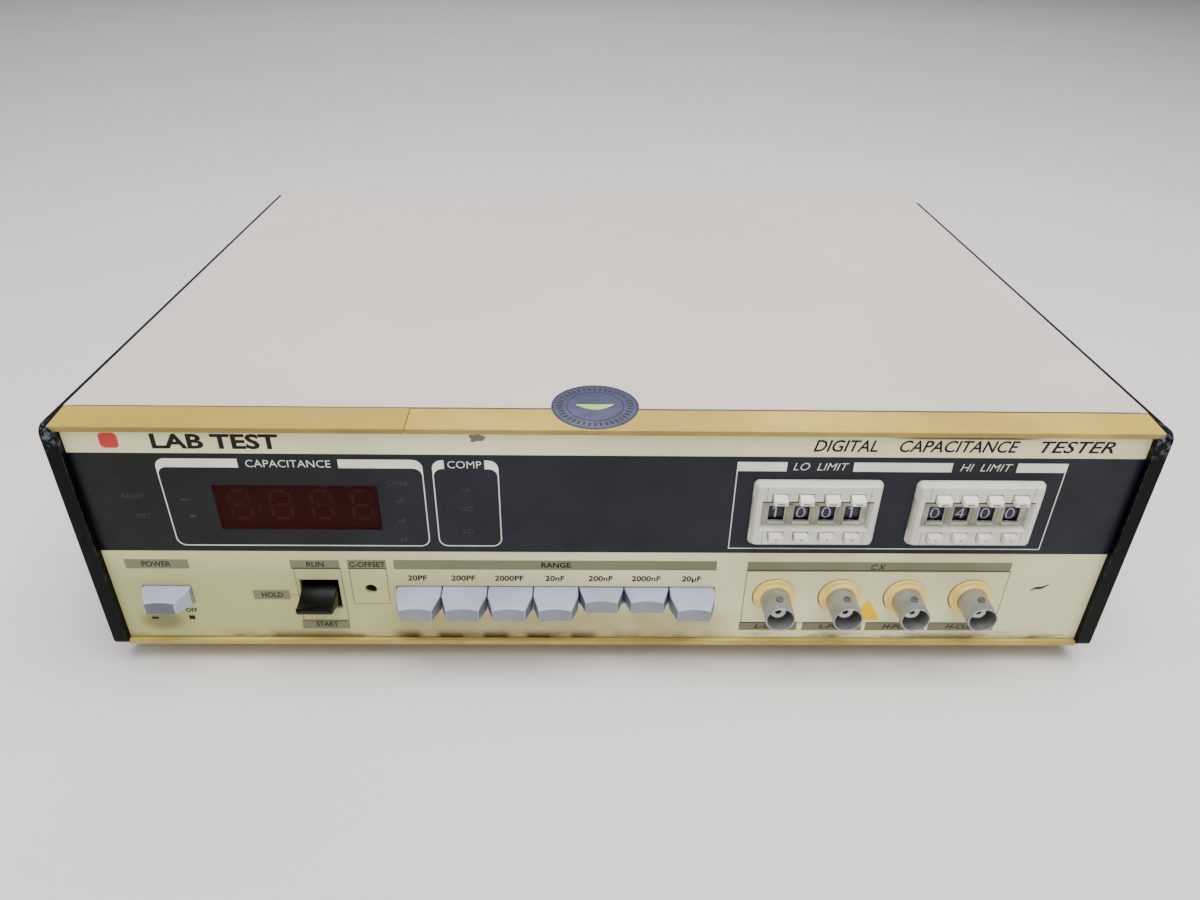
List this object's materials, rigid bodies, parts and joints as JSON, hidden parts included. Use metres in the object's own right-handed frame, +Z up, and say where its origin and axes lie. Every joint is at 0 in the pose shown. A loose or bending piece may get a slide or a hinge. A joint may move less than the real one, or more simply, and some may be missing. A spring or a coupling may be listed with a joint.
{
  "type": "capacitance tester",
  "caption": "Bench capacitance tester with a digital display, range keys, push-wheel limit switches, a start lever and a row of BNC test sockets.",
  "frame": {"origin": "middle of the object's base, on the plane of the feet", "axes": "+X to the right of the facia, +Y from the facia towards the rear panel, +Z up"},
  "size_m": [0.334, 0.2562, 0.094],
  "materials": {
    "cover_paint": "fine-textured satin paint, warm grey beige",
    "base_paint": "satin paint, warm grey beige",
    "trim_yellowed": "yellowed satin moulding",
    "frame_black": "fine-grained satin black",
    "facia_print": "cream silk-screened panel with a dark grey band",
    "panel_metal": "plain sheet",
    "rear_metal": "clear anodised sheet",
    "filter_red": "dark red acrylic filter",
    "display_body": "dark epoxy with moulded segments",
    "board_green": "glass-epoxy board",
    "component_body": "moulded and plated components",
    "transformer_body": "varnished laminations and tape",
    "nickel_plate": "dull nickel plating",
    "bushing_nylon": "yellowed nylon",
    "insert_resin": "white fluoropolymer with a plated contact",
    "bezel_moulding": "off-white satin moulding",
    "wheel_moulding": "dark drum with pale figures",
    "button_moulding": "ivory moulding",
    "key_moulding": "pale blue-grey moulding",
    "lever_moulding": "polished black moulding",
    "screw_brass": "turned brass",
    "foot_rubber": "moulded rubber",
    "inlet_moulding": "black moulding with plated pins",
    "socket_plate": "zinc-plated shell",
    "switch_moulding": "switch mouldings and plated brackets"
  },
  "bodies": {
    "case": {"top_cover": "cover_paint", "bottom_cover": "base_paint", "top_trim_left": "trim_yellowed", "top_trim_right": "trim_yellowed", "bottom_trim": "trim_yellowed", "left_side_frame": "frame_black", "right_side_frame": "frame_black", "front_panel": "panel_metal", "front_facia": "facia_print", "display_filter": "filter_red", "display_module": "display_body", "rear_panel": "rear_metal", "main_board": "board_green", "board_components": "component_body", "power_transformer": "transformer_body", "bnc_bodies": "nickel_plate", "bnc_bushings": "bushing_nylon", "bnc_inserts": "insert_resin", "low_limit_housing": "bezel_moulding", "high_limit_housing": "bezel_moulding", "range_switch_bank": "switch_moulding", "power_switch": "switch_moulding", "lever_switch": "switch_moulding", "rubber_feet": "foot_rubber", "mains_inlet": "inlet_moulding", "interface_socket": "socket_plate"},
    "power_key": {"power_key": "key_moulding"},
    "run_lever": {"run_lever": "lever_moulding"},
    "offset_screw": {"offset_screw": "screw_brass"},
    "range_key_1": {"range_key_1": "key_moulding"},
    "range_key_2": {"range_key_2": "key_moulding"},
    "range_key_3": {"range_key_3": "key_moulding"},
    "range_key_4": {"range_key_4": "key_moulding"},
    "range_key_5": {"range_key_5": "key_moulding"},
    "range_key_6": {"range_key_6": "key_moulding"},
    "range_key_7": {"range_key_7": "key_moulding"},
    "low_wheel_1": {"low_wheel_1": "wheel_moulding"},
    "low_up_button_1": {"low_up_button_1": "button_moulding"},
    "low_down_button_1": {"low_down_button_1": "button_moulding"},
    "low_wheel_2": {"low_wheel_2": "wheel_moulding"},
    "low_up_button_2": {"low_up_button_2": "button_moulding"},
    "low_down_button_2": {"low_down_button_2": "button_moulding"},
    "low_wheel_3": {"low_wheel_3": "wheel_moulding"},
    "low_up_button_3": {"low_up_button_3": "button_moulding"},
    "low_down_button_3": {"low_down_button_3": "button_moulding"},
    "low_wheel_4": {"low_wheel_4": "wheel_moulding"},
    "low_up_button_4": {"low_up_button_4": "button_moulding"},
    "low_down_button_4": {"low_down_button_4": "button_moulding"},
    "high_wheel_1": {"high_wheel_1": "wheel_moulding"},
    "high_up_button_1": {"high_up_button_1": "button_moulding"},
    "high_down_button_1": {"high_down_button_1": "button_moulding"},
    "high_wheel_2": {"high_wheel_2": "wheel_moulding"},
    "high_up_button_2": {"high_up_button_2": "button_moulding"},
    "high_down_button_2": {"high_down_button_2": "button_moulding"},
    "high_wheel_3": {"high_wheel_3": "wheel_moulding"},
    "high_up_button_3": {"high_up_button_3": "button_moulding"},
    "high_down_button_3": {"high_down_button_3": "button_moulding"},
    "high_wheel_4": {"high_wheel_4": "wheel_moulding"},
    "high_up_button_4": {"high_up_button_4": "button_moulding"},
    "high_down_button_4": {"high_down_button_4": "button_moulding"}
  },
  "joints": [
    {"name": "power_key_press", "type": "slide", "parent": "case", "child": "power_key", "axis": [0, 1, 0], "range_m": [0, 0.004]},
    {"name": "range_key_1_press", "type": "slide", "parent": "case", "child": "range_key_1", "axis": [0, 1, 0], "range_m": [0, 0.004]},
    {"name": "range_key_2_press", "type": "slide", "parent": "case", "child": "range_key_2", "axis": [0, 1, 0], "range_m": [0, 0.004]},
    {"name": "range_key_3_press", "type": "slide", "parent": "case", "child": "range_key_3", "axis": [0, 1, 0], "range_m": [0, 0.004]},
    {"name": "range_key_4_press", "type": "slide", "parent": "case", "child": "range_key_4", "axis": [0, 1, 0], "range_m": [0, 0.004]},
    {"name": "range_key_5_press", "type": "slide", "parent": "case", "child": "range_key_5", "axis": [0, 1, 0], "range_m": [-0.004, 0]},
    {"name": "range_key_6_press", "type": "slide", "parent": "case", "child": "range_key_6", "axis": [0, 1, 0], "range_m": [-0.004, 0]},
    {"name": "range_key_7_press", "type": "slide", "parent": "case", "child": "range_key_7", "axis": [0, 1, 0], "range_m": [0, 0.004]},
    {"name": "run_lever_tilt", "type": "hinge", "parent": "case", "child": "run_lever", "pos_m": [-0.0952, -0.1081, 0.029], "axis": [1, 0, 0], "range_deg": [-15, 15]},
    {"name": "offset_screw_turn", "type": "hinge", "parent": "case", "child": "offset_screw", "pos_m": [-0.0785, -0.1081, 0.0312], "axis": [0, 1, 0], "range_deg": [-135, 135]},
    {"name": "low_wheel_1_turn", "type": "hinge", "parent": "case", "child": "low_wheel_1", "pos_m": [0.0518, -0.1076, 0.0631], "axis": [1, 0, 0], "continuous": true},
    {"name": "low_wheel_2_turn", "type": "hinge", "parent": "case", "child": "low_wheel_2", "pos_m": [0.0598, -0.1076, 0.0631], "axis": [1, 0, 0], "continuous": true},
    {"name": "low_wheel_3_turn", "type": "hinge", "parent": "case", "child": "low_wheel_3", "pos_m": [0.0678, -0.1076, 0.0631], "axis": [1, 0, 0], "continuous": true},
    {"name": "low_wheel_4_turn", "type": "hinge", "parent": "case", "child": "low_wheel_4", "pos_m": [0.0758, -0.1076, 0.0631], "axis": [1, 0, 0], "continuous": true},
    {"name": "low_up_button_1_press", "type": "slide", "parent": "case", "child": "low_up_button_1", "axis": [0, 1, 0], "range_m": [0, 0.002], "stiffness_N_per_m": 200},
    {"name": "low_up_button_2_press", "type": "slide", "parent": "case", "child": "low_up_button_2", "axis": [0, 1, 0], "range_m": [0, 0.002], "stiffness_N_per_m": 200},
    {"name": "low_up_button_3_press", "type": "slide", "parent": "case", "child": "low_up_button_3", "axis": [0, 1, 0], "range_m": [0, 0.002], "stiffness_N_per_m": 200},
    {"name": "low_up_button_4_press", "type": "slide", "parent": "case", "child": "low_up_button_4", "axis": [0, 1, 0], "range_m": [0, 0.002], "stiffness_N_per_m": 200},
    {"name": "low_down_button_1_press", "type": "slide", "parent": "case", "child": "low_down_button_1", "axis": [0, 1, 0], "range_m": [0, 0.002], "stiffness_N_per_m": 200},
    {"name": "low_down_button_2_press", "type": "slide", "parent": "case", "child": "low_down_button_2", "axis": [0, 1, 0], "range_m": [0, 0.002], "stiffness_N_per_m": 200},
    {"name": "low_down_button_3_press", "type": "slide", "parent": "case", "child": "low_down_button_3", "axis": [0, 1, 0], "range_m": [0, 0.002], "stiffness_N_per_m": 200},
    {"name": "low_down_button_4_press", "type": "slide", "parent": "case", "child": "low_down_button_4", "axis": [0, 1, 0], "range_m": [0, 0.002], "stiffness_N_per_m": 200},
    {"name": "high_wheel_1_turn", "type": "hinge", "parent": "case", "child": "high_wheel_1", "pos_m": [0.1023, -0.1076, 0.0631], "axis": [1, 0, 0], "continuous": true},
    {"name": "high_wheel_2_turn", "type": "hinge", "parent": "case", "child": "high_wheel_2", "pos_m": [0.1103, -0.1076, 0.0631], "axis": [1, 0, 0], "continuous": true},
    {"name": "high_wheel_3_turn", "type": "hinge", "parent": "case", "child": "high_wheel_3", "pos_m": [0.1183, -0.1076, 0.0631], "axis": [1, 0, 0], "continuous": true},
    {"name": "high_wheel_4_turn", "type": "hinge", "parent": "case", "child": "high_wheel_4", "pos_m": [0.1263, -0.1076, 0.0631], "axis": [1, 0, 0], "continuous": true},
    {"name": "high_up_button_1_press", "type": "slide", "parent": "case", "child": "high_up_button_1", "axis": [0, 1, 0], "range_m": [0, 0.002], "stiffness_N_per_m": 200},
    {"name": "high_up_button_2_press", "type": "slide", "parent": "case", "child": "high_up_button_2", "axis": [0, 1, 0], "range_m": [0, 0.002], "stiffness_N_per_m": 200},
    {"name": "high_up_button_3_press", "type": "slide", "parent": "case", "child": "high_up_button_3", "axis": [0, 1, 0], "range_m": [0, 0.002], "stiffness_N_per_m": 200},
    {"name": "high_up_button_4_press", "type": "slide", "parent": "case", "child": "high_up_button_4", "axis": [0, 1, 0], "range_m": [0, 0.002], "stiffness_N_per_m": 200},
    {"name": "high_down_button_1_press", "type": "slide", "parent": "case", "child": "high_down_button_1", "axis": [0, 1, 0], "range_m": [0, 0.002], "stiffness_N_per_m": 200},
    {"name": "high_down_button_2_press", "type": "slide", "parent": "case", "child": "high_down_button_2", "axis": [0, 1, 0], "range_m": [0, 0.002], "stiffness_N_per_m": 200},
    {"name": "high_down_button_3_press", "type": "slide", "parent": "case", "child": "high_down_button_3", "axis": [0, 1, 0], "range_m": [0, 0.002], "stiffness_N_per_m": 200},
    {"name": "high_down_button_4_press", "type": "slide", "parent": "case", "child": "high_down_button_4", "axis": [0, 1, 0], "range_m": [0, 0.002], "stiffness_N_per_m": 200}
  ]
}
